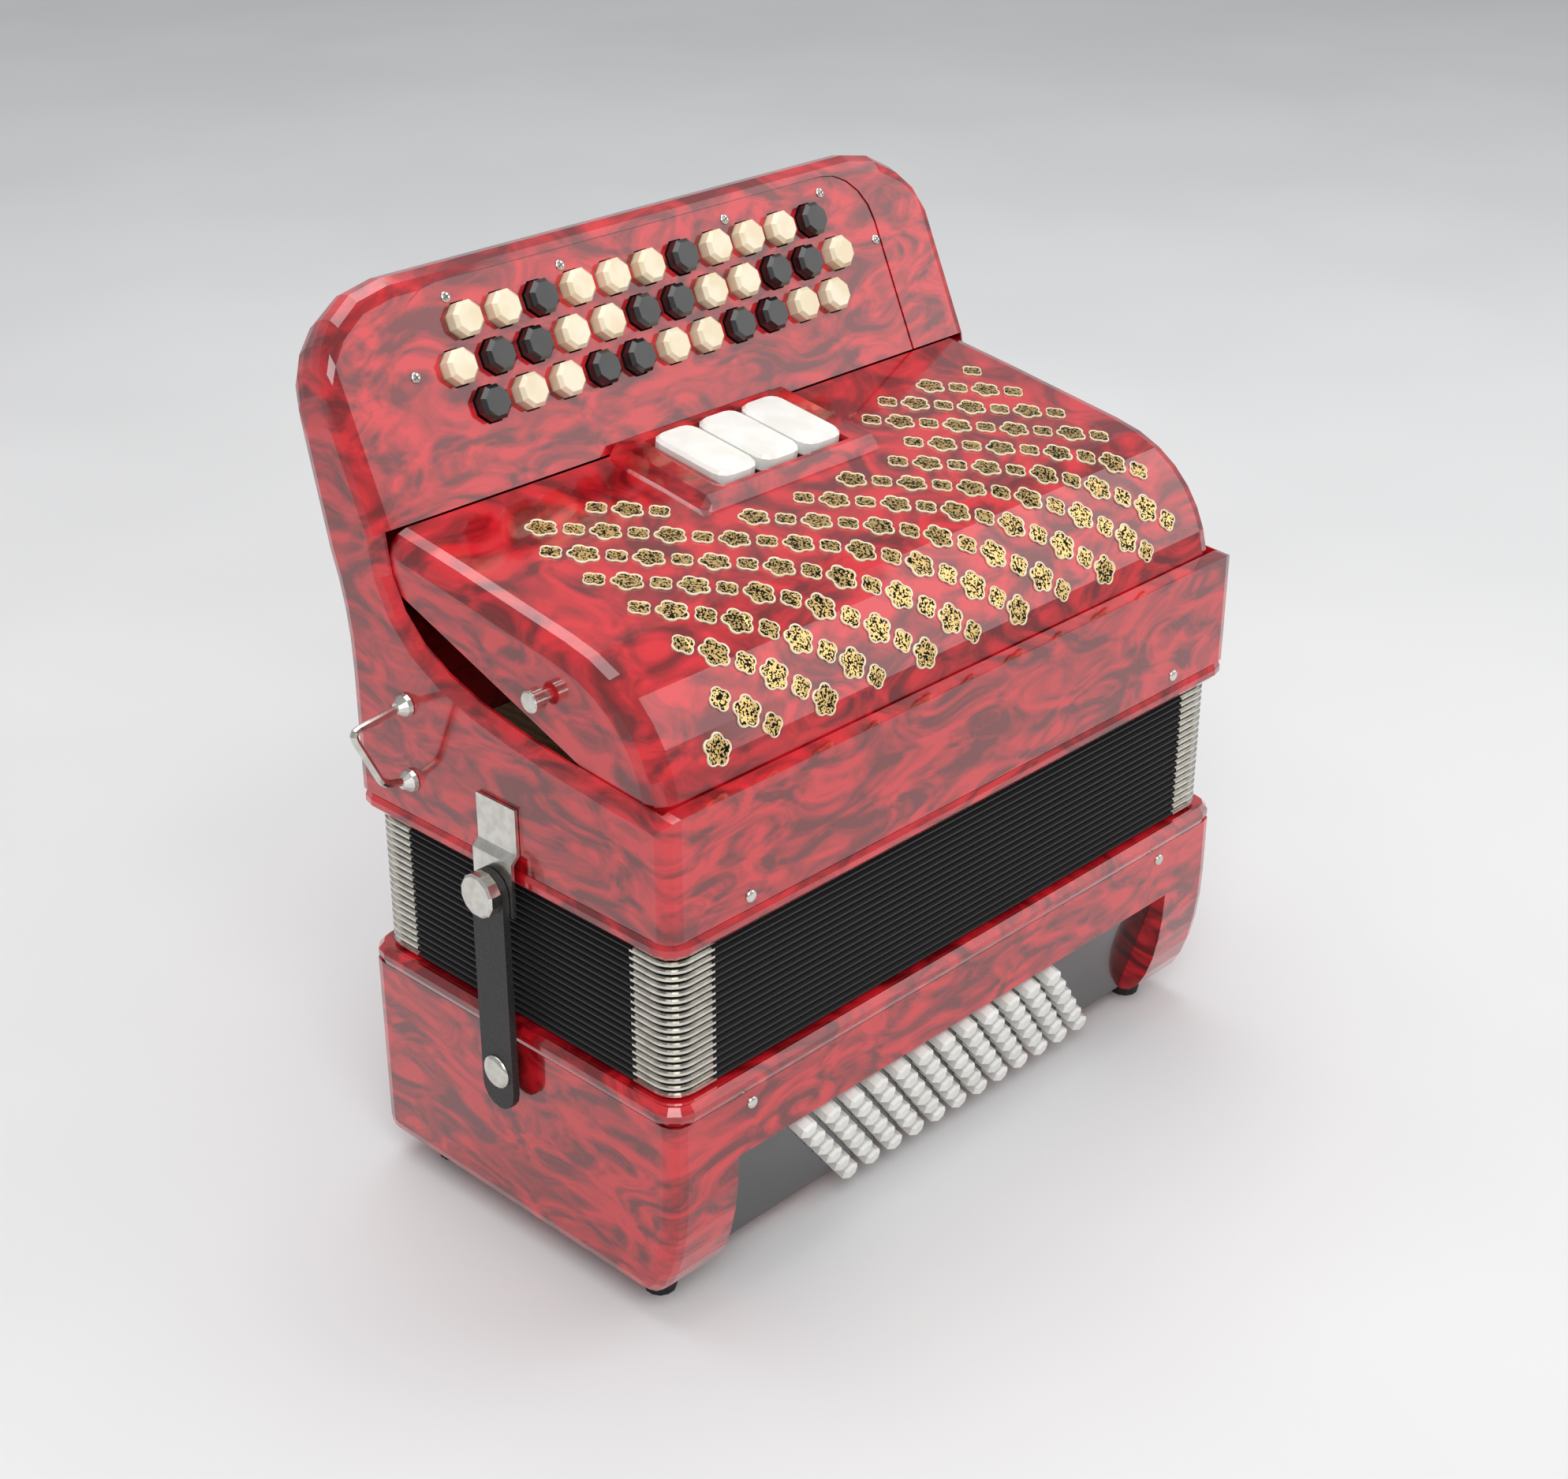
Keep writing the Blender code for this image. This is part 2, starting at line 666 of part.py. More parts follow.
# Inside of the treble half
def reed_blocks(steps, seat, height):
    """Tapered reed blocks that stand on a soundboard's face, up or down from it."""
    bm = bmesh.new()
    sunk = math.copysign(SOUNDBOARD_THICKNESS / 2, -height)
    for step in steps:
        middle = CASE_DEPTH / 2 + step * REED_BLOCK_PITCH
        corners = ((middle - REED_BLOCK_WIDTH / 2, seat + sunk), (middle + REED_BLOCK_WIDTH / 2, seat + sunk),
                   (middle + REED_BLOCK_WIDTH / 4, seat + height), (middle - REED_BLOCK_WIDTH / 4, seat + height))
        ends = (-REED_BLOCK_LENGTH / 2, REED_BLOCK_LENGTH / 2)
        add_loft(bm, [[place(x, d, z) for d, z in corners] for x in ends])
    return bm


def build_treble_inside(wood, parent):
    """Soundboard across the casing, with the reed blocks under it."""
    half = HALF_LENGTH - TREBLE_END_WALL - SEAT_GAP
    low = TREBLE_SEAM + SOUNDBOARD_ABOVE_SEAM
    board = box(-half, half, TREBLE_FRONT_WALL + SEAT_GAP, CASE_DEPTH - TREBLE_BACK_WALL - SEAT_GAP,
                low, low + SOUNDBOARD_THICKNESS)
    bank = add_object("treble_reed_bank", board, wood, parent)
    combine(bank, add_cutter("treble_blocks", reed_blocks((-1, 0, 1), low, -REED_BLOCK_HEIGHT)), "UNION")


# Bellows and frames
def ring_at(half_x, half_y, radius, height, segments=3):
    """A rounded rectangle of points centred on the casing."""
    centre = CASE_DEPTH / 2
    points = rounded_rectangle(half_x, half_y, radius, segments)
    return [place(x, centre + y, height) for x, y in points]


def build_bellows_frame(name, seam, direction, wall_x, wall_front, wall_back, material, parent):
    """A bellows frame: a beaded ring with a spigot that plugs into its casing."""
    bm = bmesh.new()
    seam_face = seam - direction * SEAT_GAP
    bellows_face = seam - direction * FRAME_HEIGHT
    proud = BEAD_PROUD
    outer = []
    levels = ((0.0, seam_face), (proud, seam_face - direction * FRAME_HEIGHT * 0.3),
              (proud, seam_face - direction * FRAME_HEIGHT * 0.62), (-0.0015, bellows_face))
    for grow, height in levels:
        outer.append(ring_at(HALF_LENGTH + grow, CASE_DEPTH / 2 + grow, EDGE_FILLET + 0.003 + grow, height))
    inner_x = HALF_LENGTH - FRAME_WIDTH
    inner_y = CASE_DEPTH / 2 - FRAME_WIDTH
    inner = [ring_at(inner_x, inner_y, 0.004, seam_face), ring_at(inner_x, inner_y, 0.004, bellows_face)]
    add_tube(bm, outer, inner)
    frame = add_object(name, bm, material, parent)
    spigot = bmesh.new()
    wall = max(wall_x, wall_front, wall_back) + SEAT_GAP
    spigot_x = HALF_LENGTH - wall
    spigot_y = CASE_DEPTH / 2 - wall
    low, high = seam_face - direction * 0.001, seam_face + direction * SPIGOT_HEIGHT
    add_tube(spigot, [ring_at(spigot_x, spigot_y, 0.004, low), ring_at(spigot_x, spigot_y, 0.004, high)],
             [ring_at(spigot_x - SPIGOT_WIDTH, spigot_y - SPIGOT_WIDTH, 0.002, low),
              ring_at(spigot_x - SPIGOT_WIDTH, spigot_y - SPIGOT_WIDTH, 0.002, high)])
    combine(frame, add_cutter(name + "_spigot", spigot), "UNION")


def build_bellows(material, parent):
    """Pleated bellows: a folded wall between the two frames."""
    bm = bmesh.new()
    low = BELLOWS_BASE + SEAT_GAP
    high = BELLOWS_TOP - SEAT_GAP
    outer = []
    inner = []
    half_folds = 2 * BELLOWS_FOLDS
    for step in range(half_folds + 1):
        height = low + (high - low) * step / half_folds
        inset = BELLOWS_INSET + (0.0 if step % 2 else FOLD_DEPTH)
        half_x = HALF_LENGTH - inset
        half_y = CASE_DEPTH / 2 - inset
        outer.append(ring_at(half_x, half_y, BELLOWS_CORNER - inset / 2, height, 2))
        inner.append(ring_at(half_x - FOLD_WALL, half_y - FOLD_WALL, BELLOWS_CORNER - inset / 2 - FOLD_WALL / 2, height, 2))
    add_tube(bm, outer, inner)
    add_object("bellows", bm, material, parent, smooth_angle=20.0)


# Bass half
def bass_profile():
    """Side profile of the bass casing, from the front seam round to the back seam."""
    profile = [(0.0, BASS_SEAM)]
    steps = 7
    centre = BASS_BASE + BASS_NOSE_HEIGHT
    for step in range(steps + 1):
        angle = math.pi / 2 * step / steps
        profile.append((BASS_NOSE_DEPTH * (1 - math.cos(angle)), centre - BASS_NOSE_HEIGHT * math.sin(angle)))
    heel = BASS_HEEL_RADIUS
    for step in range(4):
        angle = math.pi / 2 * step / 3
        profile.append((CASE_DEPTH - heel + heel * math.sin(angle), BASS_BASE + heel - heel * math.cos(angle)))
    profile.append((CASE_DEPTH, BASS_SEAM))
    return profile


def on_board(down, inward):
    """Depth and height of a point on the bass button board."""
    depth = BOARD_TOP_DEPTH + down * math.sin(BOARD_TILT) + inward * math.cos(BOARD_TILT)
    height = RECESS_TOP - down * math.cos(BOARD_TILT) + inward * math.sin(BOARD_TILT)
    return depth, height


def board_line(inward, height):
    """Point at a given height on a line parallel to the board's face."""
    down = (RECESS_TOP + inward * math.sin(BOARD_TILT) - height) / math.cos(BOARD_TILT)
    return on_board(down, inward)


def recess_profile(inward, top):
    """Everything in front of a plane parallel to the board, up to a height."""
    ahead = -0.02
    below = BASS_BASE - 0.002
    return [(ahead, top), board_line(inward, top), board_line(inward, below), (ahead, below)]


def build_bass_casing(material, parent):
    """Bass casing: a shell with the slanted recess and an opening for the end cover."""
    body = bmesh.new()
    rings = []
    for x in mirrored_stations(fillet_stations(HALF_LENGTH, EDGE_FILLET)):
        profile = inset_profile(bass_profile(), fillet_inset(x, HALF_LENGTH, EDGE_FILLET))
        ring = [place(x, d, min(z, BASS_SEAM)) for d, z in profile]
        ring[0].z = BASS_SEAM
        ring[-1].z = BASS_SEAM
        rings.append(ring)
    add_loft(body, rings)
    casing = add_object("bass_casing", body, material, parent)

    inner = inset_profile(bass_profile(), BASS_WALL)
    inner[0] = (inner[0][0], BASS_SEAM + 0.002)
    inner[-1] = (inner[-1][0], BASS_SEAM + 0.002)
    reach = HALF_LENGTH - BASS_WALL
    hollow = add_cutter("bass_hollow_cutter", side_prism(inner, -reach, reach))
    behind = BOARD_THICKNESS + SEAT_GAP + BOARD_FLANGE
    liner = RECESS_HALF_WIDTH + RECESS_LINER
    block = side_prism(recess_profile(behind, RECESS_TOP + RECESS_LINER), -liner, liner)
    combine(hollow, add_cutter("recess_liner_cutter", block))
    combine(casing, hollow)

    seat = recess_profile(BOARD_THICKNESS + SEAT_GAP, RECESS_TOP)
    combine(casing, add_cutter("recess_cutter", side_prism(seat, -RECESS_HALF_WIDTH, RECESS_HALF_WIDTH)))
    height = (RECESS_TOP - BASS_BASE) / math.cos(BOARD_TILT)
    edge = BOARD_WINDOW_EDGE
    window = [on_board(edge, 0.001), on_board(height - edge, 0.001),
              on_board(height - edge, 2 * behind), on_board(edge, 2 * behind)]
    reach = RECESS_HALF_WIDTH - BOARD_WINDOW_MARGIN
    combine(casing, add_cutter("board_window_cutter", side_prism(window, -reach, reach)))
    hole = bmesh.new()
    hole_radius = AIR_BUTTON_RADIUS + AIR_BUTTON_CLEARANCE
    at_button = Matrix.Translation(place(AIR_BUTTON_X, AIR_BUTTON_DEPTH, BASS_BASE))
    turn(hole, ((hole_radius, -BASS_WALL), (hole_radius, 2 * BASS_WALL)), ROUND_SIDES, at_button)
    combine(casing, add_cutter("air_hole_cutter", hole))


def bass_button_places():
    """Row, x and distance down the board of every bass button."""
    for row in range(BASS_ROWS):
        down = BASS_FIRST_ROW + row * BASS_ROW_SPACING
        for column in range(BASS_COLUMNS):
            middle = (BASS_COLUMNS - 1) / 2
            x = BASS_FIELD_CENTRE + (column - middle) * BASS_PITCH + row * BASS_ROW_SHIFT
            yield row, x, down


def board_matrix(x, down):
    """Frame on the bass board: local Z points out of it."""
    depth, height = on_board(down, 0.0)
    return Matrix.Translation(place(x, depth, height)) @ Matrix.Rotation(math.pi / 2 + BOARD_TILT, 4, "X")


def build_bass_board(material, parent):
    """Bass button board: a plate with a hole for every bass button."""
    reach = RECESS_HALF_WIDTH - SEAT_GAP
    top = RECESS_TOP - SEAT_GAP
    base = BASS_BASE
    profile = [board_line(0.0, top), board_line(0.0, base), board_line(BOARD_THICKNESS, base),
               board_line(BOARD_THICKNESS, top)]
    board = add_object("bass_button_board", side_prism(profile, -reach, reach), material, parent)
    holes = bmesh.new()
    radius = BASS_BUTTON_RADIUS + BASS_HOLE_CLEARANCE
    for _, x, down in bass_button_places():
        turn(holes, ((radius, -2 * BOARD_THICKNESS), (radius, BOARD_THICKNESS)), BASS_BUTTON_SIDES,
             board_matrix(x, down))
    combine(board, add_cutter("bass_holes_cutter", holes))


def build_bass_buttons(material, parent):
    """Bass buttons in two groups, each group's shanks joined by a thin plate behind the board."""
    radius = BASS_BUTTON_RADIUS
    crown = BASS_BUTTON_CROWN
    plate_front = BOARD_THICKNESS + LINK_PLATE_GAP
    plate_back = plate_front + LINK_PLATE_THICKNESS
    profile = ((radius, -plate_front - LINK_PLATE_THICKNESS / 2), (radius, BASS_BUTTON_RISE - crown),
               (radius - crown, BASS_BUTTON_RISE))
    margin = LINK_PLATE_MARGIN
    for name, rows in (("bass_note_buttons", (0, 1)), ("bass_chord_buttons", (2, 3, 4, 5))):
        places = [(x, down) for row, x, down in bass_button_places() if row in rows]
        upper = min(down for _, down in places) - margin
        lower = max(down for _, down in places) + margin
        side = [on_board(upper, plate_front), on_board(lower, plate_front),
                on_board(lower, plate_back), on_board(upper, plate_back)]
        x_low = min(x for x, _ in places) - margin
        x_high = max(x for x, _ in places) + margin
        group = add_object(name, side_prism(side, x_low, x_high), material, parent)
        shanks = bmesh.new()
        for x, down in places:
            turn(shanks, profile, BASS_BUTTON_SIDES, board_matrix(x, down))
        combine(group, add_cutter(name + "_shanks", shanks), "UNION")


def build_bass_end(rubber, white, parent):
    """Air button and feet under the bass casing."""
    button = bmesh.new()
    rise = AIR_BUTTON_RISE
    turn(button, ((AIR_BUTTON_RADIUS - BUTTON_CROWN, -rise), (AIR_BUTTON_RADIUS, -rise + BUTTON_CROWN),
                  (AIR_BUTTON_RADIUS, AIR_BUTTON_SHANK)), ROUND_SIDES)
    air = add_object("air_button", button, white, parent)
    air.matrix_basis = Matrix.Translation(place(AIR_BUTTON_X, AIR_BUTTON_DEPTH, BASS_BASE))

    profile = ((FOOT_BOTTOM_RADIUS, 0.0), (FOOT_TOP_RADIUS, FOOT_HEIGHT - SEAT_GAP))
    for end, x in (("left", -FOOT_X), ("right", FOOT_X)):
        for face, depth in (("front", FOOT_FRONT), ("back", FOOT_BACK)):
            foot = bmesh.new()
            turn(foot, profile, ROUND_SIDES, Matrix.Translation(place(x, depth, 0.0)))
            add_object(f"rubber_foot_{face}_{end}", foot, rubber, parent)


def build_bass_inside(wood, parent):
    """Bass soundboard with its reed blocks, seated in the casing's mouth."""
    wall = BASS_WALL + SEAT_GAP
    top = BASS_SEAM - SPIGOT_HEIGHT - 2 * SEAT_GAP
    board = box(-HALF_LENGTH + wall, HALF_LENGTH - wall, wall, CASE_DEPTH - wall, top - SOUNDBOARD_THICKNESS, top)
    inside = add_object("bass_reed_bank", board, wood, parent)
    combine(inside, add_cutter("bass_blocks", reed_blocks((-0.8, 0.8), top, BASS_BLOCK_HEIGHT)), "UNION")


# Fittings on the two ends
def rounded_path(corners, radius, steps):
    """A path through corner points with its inner corners rounded."""
    path = [Vector(corners[0])]
    for before, corner, after in zip(corners, corners[1:], corners[2:]):
        corner = Vector(corner)
        into = (Vector(before) - corner).normalized()
        out = (Vector(after) - corner).normalized()
        for step in range(steps + 1):
            t = step / steps
            path.append(corner + into * radius * (1 - t) ** 2 + out * radius * t ** 2)
    path.append(Vector(corners[-1]))
    return path


def add_wire(bm, path, radius, sides):
    """A round wire along a flat path, closed at both ends."""
    normal = Vector((0.0, 1.0, 0.0))
    rings = []
    for i, point in enumerate(path):
        along = (path[min(i + 1, len(path) - 1)] - path[max(i - 1, 0)]).normalized()
        across = normal.cross(along).normalized()
        ring = []
        for k in range(sides):
            angle = 2 * math.pi * k / sides
            ring.append(point + (across * math.cos(angle) + normal * math.sin(angle)) * radius)
        rings.append(ring)
    add_loft(bm, rings)


def build_strap_brackets(material, parent):
    """Wire strap brackets standing on two ferrules at each end."""
    top = TREBLE_SEAM + BRACKET_TOP
    low = top - BRACKET_SPACING
    for name, side in (("strap_bracket_left", -1), ("strap_bracket_right", 1)):
        wires = bmesh.new()
        ferrules = bmesh.new()
        face = side * (HALF_LENGTH + SEAT_GAP)
        corners = [(face + side * 0.001, top), (face + side * BRACKET_TOP_REACH, top - BRACKET_LEG_DRIFT),
                   (face + side * BRACKET_LOW_REACH, low + BRACKET_LEG_DRIFT), (face + side * 0.001, low)]
        path = rounded_path([place(x, BRACKET_DEPTH, z) for x, z in corners], BRACKET_BEND, 3)
        add_wire(wires, path, BRACKET_WIRE, 8)
        for height in (top, low):
            stand = Matrix.Translation(place(face, BRACKET_DEPTH, height)) @ Matrix.Rotation(side * math.pi / 2, 4, "Y")
            turn(ferrules, ((FERRULE_RADIUS, 0.0), (FERRULE_RADIUS * 0.9, FERRULE_LENGTH * 0.35),
                            (BRACKET_WIRE * 1.3, FERRULE_LENGTH)), ROUND_SIDES, stand)
        bracket = add_object(name, wires, material, parent)
        combine(bracket, add_cutter(name + "_ferrules", ferrules), "UNION")


def plate_offsets():
    """Distances out from the end face: lower plate, strap and knob head."""
    lower_inner = SEAT_GAP + PLATE_JOGGLE
    strap_inner = lower_inner + PLATE_THICKNESS + STRAP_CLEARANCE
    head_inner = strap_inner + STRAP_THICKNESS + STRAP_CLEARANCE
    return lower_inner, strap_inner, head_inner


def build_hinge_plates(material, parent):
    """Strap hinge plates: a joggled plate with a knob at each end."""
    lower_inner, _, head_inner = plate_offsets()
    thick = PLATE_THICKNESS
    top = TREBLE_SEAM + PLATE_ABOVE_SEAM
    bend = TREBLE_SEAM + 0.004
    end = KNOB_HEIGHT - KNOB_RADIUS
    for name, side in (("strap_hinge_plate_left", -1), ("strap_hinge_plate_right", 1)):
        plates = bmesh.new()
        knobs = bmesh.new()
        face = side * HALF_LENGTH
        outline = [(SEAT_GAP, top), (SEAT_GAP, bend + 0.003), (lower_inner, bend), (lower_inner, end),
                   (lower_inner + thick, end), (lower_inner + thick, bend + 0.0006),
                   (SEAT_GAP + thick, bend + 0.0036), (SEAT_GAP + thick, top)]
        depths = (STRAP_DEPTH - PLATE_WIDTH / 2, STRAP_DEPTH + PLATE_WIDTH / 2)
        add_loft(plates, [[place(face + side * o, depth, z) for o, z in outline] for depth in depths])
        stand = Matrix.Translation(place(face, STRAP_DEPTH, KNOB_HEIGHT)) @ Matrix.Rotation(side * math.pi / 2, 4, "Y")
        base = lower_inner + thick * 0.5
        turn(knobs, ((KNOB_NECK, base), (KNOB_NECK, head_inner), (KNOB_RADIUS, head_inner),
                     (KNOB_RADIUS, head_inner + KNOB_HEAD - 0.001), (KNOB_RADIUS - 0.001, head_inner + KNOB_HEAD)),
             ROUND_SIDES, stand)
        fitting = add_object(name, plates, material, parent)
        combine(fitting, add_cutter(name + "_knob", knobs), "UNION")


def build_bellows_straps(material, parent):
    """Leather bellows straps, hinged on the knobs and hanging over the bellows."""
    _, strap_inner, _ = plate_offsets()
    half = STRAP_WIDTH / 2
    hole_radius = KNOB_NECK + STRAP_CLEARANCE
    for name, side in (("bellows_strap_left", -1), ("bellows_strap_right", 1)):
        outline = []
        for step in range(9):
            angle = math.pi * step / 8
            outline.append((half * math.cos(angle), half * math.sin(angle)))
        for step in range(9):
            angle = math.pi * (1 + step / 8)
            outline.append((half * math.cos(angle), half - STRAP_REACH + half * math.sin(angle)))
        inner = side * strap_inner
        outer = side * (strap_inner + STRAP_THICKNESS)
        bm = bmesh.new()
        add_loft(bm, [[Vector((x, y, z)) for y, z in outline] for x in (inner, outer)])
        strap = add_object(name, bm, material, parent)
        strap.matrix_basis = Matrix.Translation(place(side * HALF_LENGTH, STRAP_DEPTH, KNOB_HEIGHT))
        hole = bmesh.new()
        stand = strap.matrix_basis @ Matrix.Rotation(side * math.pi / 2, 4, "Y")
        turn(hole, ((hole_radius, 0.0), (hole_radius, 0.02)), 12, stand)
        combine(strap, add_cutter(name + "_hole_cutter", hole))


def main():
    """Build the whole accordion."""
    clear_scene()
    red = make_material("red_celluloid", (0.42, 0.01, 0.015), 0.15)
    black_cloth = make_material("black_bellows_cloth", (0.02, 0.02, 0.022), 0.8)
    black_plastic = make_material("black_plastic", (0.01, 0.01, 0.012), 0.2)
    cream_plastic = make_material("cream_plastic", (0.85, 0.78, 0.6), 0.25)
    white_plastic = make_material("white_plastic", (0.9, 0.9, 0.88), 0.3)
    nickel = make_material("nickel", (0.75, 0.73, 0.68), 0.2, 1.0)
    leather = make_material("black_leather", (0.02, 0.02, 0.02), 0.55)
    rubber = make_material("black_rubber", (0.015, 0.015, 0.015), 0.7)
    spruce = make_material("spruce", (0.6, 0.45, 0.27), 0.6)

    bass_half = make_empty("bass_half", (0.0, 0.0, 0.0))
    treble_half = make_empty("treble_half", (0.0, 0.0, TREBLE_SEAM))

    build_bass_casing(red, bass_half)
    build_bass_board(black_plastic, bass_half)
    build_bass_buttons(white_plastic, bass_half)
    build_bass_end(rubber, white_plastic, bass_half)
    build_bass_inside(spruce, bass_half)
    build_bellows_frame("bass_bellows_frame", BASS_SEAM, -1, BASS_WALL, BASS_WALL, BASS_WALL, red, bass_half)
    build_bellows(black_cloth, bass_half)
    build_bellows_frame("treble_bellows_frame", TREBLE_SEAM, 1, TREBLE_END_WALL, TREBLE_FRONT_WALL,
                        TREBLE_BACK_WALL, red, treble_half)
    build_treble_casing(red, treble_half)
    build_button_panel(red, treble_half)
    build_treble_buttons(black_plastic, cream_plastic, treble_half)
    build_grille_cover(red, treble_half)
    build_register_switches(white_plastic, treble_half)
    build_treble_inside(spruce, treble_half)
    build_strap_brackets(nickel, treble_half)
    build_hinge_plates(nickel, treble_half)
    build_bellows_straps(leather, treble_half)


main()
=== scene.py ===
"""Looks of the button accordion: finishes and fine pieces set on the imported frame."""
import json
import logging
import math
from dataclasses import dataclass, field
from enum import Enum

import bpy
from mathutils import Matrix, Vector
from mathutils.bvhtree import BVHTree


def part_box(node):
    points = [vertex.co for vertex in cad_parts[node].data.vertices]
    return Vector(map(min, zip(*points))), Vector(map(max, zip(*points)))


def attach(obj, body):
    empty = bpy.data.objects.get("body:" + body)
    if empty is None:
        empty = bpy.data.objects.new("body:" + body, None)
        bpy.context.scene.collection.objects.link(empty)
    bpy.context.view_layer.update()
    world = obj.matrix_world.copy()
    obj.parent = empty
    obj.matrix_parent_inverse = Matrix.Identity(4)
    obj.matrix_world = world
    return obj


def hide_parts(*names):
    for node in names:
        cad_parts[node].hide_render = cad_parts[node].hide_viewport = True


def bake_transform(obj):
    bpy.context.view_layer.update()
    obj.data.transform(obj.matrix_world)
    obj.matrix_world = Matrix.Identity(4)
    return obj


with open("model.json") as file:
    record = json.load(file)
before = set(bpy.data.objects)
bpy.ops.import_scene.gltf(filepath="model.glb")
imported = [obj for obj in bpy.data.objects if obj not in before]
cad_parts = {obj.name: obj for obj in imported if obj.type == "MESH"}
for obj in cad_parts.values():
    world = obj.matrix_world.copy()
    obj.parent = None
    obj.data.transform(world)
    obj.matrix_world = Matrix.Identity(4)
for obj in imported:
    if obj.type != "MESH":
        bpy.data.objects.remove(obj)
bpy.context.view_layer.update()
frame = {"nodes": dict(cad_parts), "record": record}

LOG = logging.getLogger("accordion")
Colour = tuple[float, float, float, float]
FRONT_Y = -0.105


class Pattern(Enum):
    """Kinds of surface pattern."""

    PEARL = "pearl"
    GLITTER = "glitter"
    RIBS = "ribs"
    GRAIN = "grain"
    WOOD = "wood"
    PLAIN = "plain"


@dataclass(frozen=True)
class Finish:
    """How one kind of surface looks; lengths are set through the scale, in cells per metre."""

    name: str
    base: Colour
    accent: Colour
    pattern: Pattern
    scale: float
    roughness: float
    metallic: float = 0.0
    coat: float = 0.0
    bump: float = 0.0
    stretch: tuple[float, float, float] = (1.0, 1.0, 1.0)


FINISHES: dict[str, Finish] = {
    "red_celluloid": Finish("red_celluloid", (0.16, 0.002, 0.004, 1), (0.62, 0.012, 0.02, 1), Pattern.PEARL, 26,
                            0.16, coat=1.0, stretch=(1.0, 1.0, 2.2)),
    "black_cloth": Finish("black_cloth", (0.008, 0.008, 0.009, 1), (0.035, 0.034, 0.036, 1), Pattern.RIBS, 900,
                          0.62, bump=0.25),
    "black_plastic": Finish("black_plastic", (0.006, 0.006, 0.007, 1), (0.014, 0.014, 0.015, 1), Pattern.PLAIN,
                            60, 0.2, coat=0.6),
    "cream_plastic": Finish("cream_plastic", (0.78, 0.66, 0.44, 1), (0.86, 0.77, 0.58, 1), Pattern.PLAIN, 70,
                            0.22, coat=0.5),
    "white_plastic": Finish("white_plastic", (0.80, 0.79, 0.74, 1), (0.88, 0.87, 0.84, 1), Pattern.PLAIN, 70,
                            0.28, coat=0.4),
    "nickel": Finish("nickel", (0.62, 0.60, 0.55, 1), (0.74, 0.72, 0.67, 1), Pattern.PLAIN, 240, 0.2,
                     metallic=1.0, bump=0.02),
    "leather": Finish("leather", (0.010, 0.009, 0.009, 1), (0.028, 0.026, 0.025, 1), Pattern.GRAIN, 1100, 0.5,
                      bump=0.35),
    "rubber": Finish("rubber", (0.010, 0.010, 0.010, 1), (0.020, 0.020, 0.020, 1), Pattern.GRAIN, 700, 0.75,
                     bump=0.1),
    "spruce": Finish("spruce", (0.48, 0.32, 0.16, 1), (0.66, 0.50, 0.30, 1), Pattern.WOOD, 60, 0.6, bump=0.05),
}
GLITTER = Finish("gold_glitter", (0.010, 0.009, 0.008, 1), (0.85, 0.60, 0.24, 1), Pattern.GLITTER, 1500, 0.3,
                 metallic=1.0, bump=0.4)
FLOOR = Finish("floor_paper", (0.74, 0.74, 0.74, 1), (0.77, 0.77, 0.77, 1), Pattern.PLAIN, 3, 0.8)


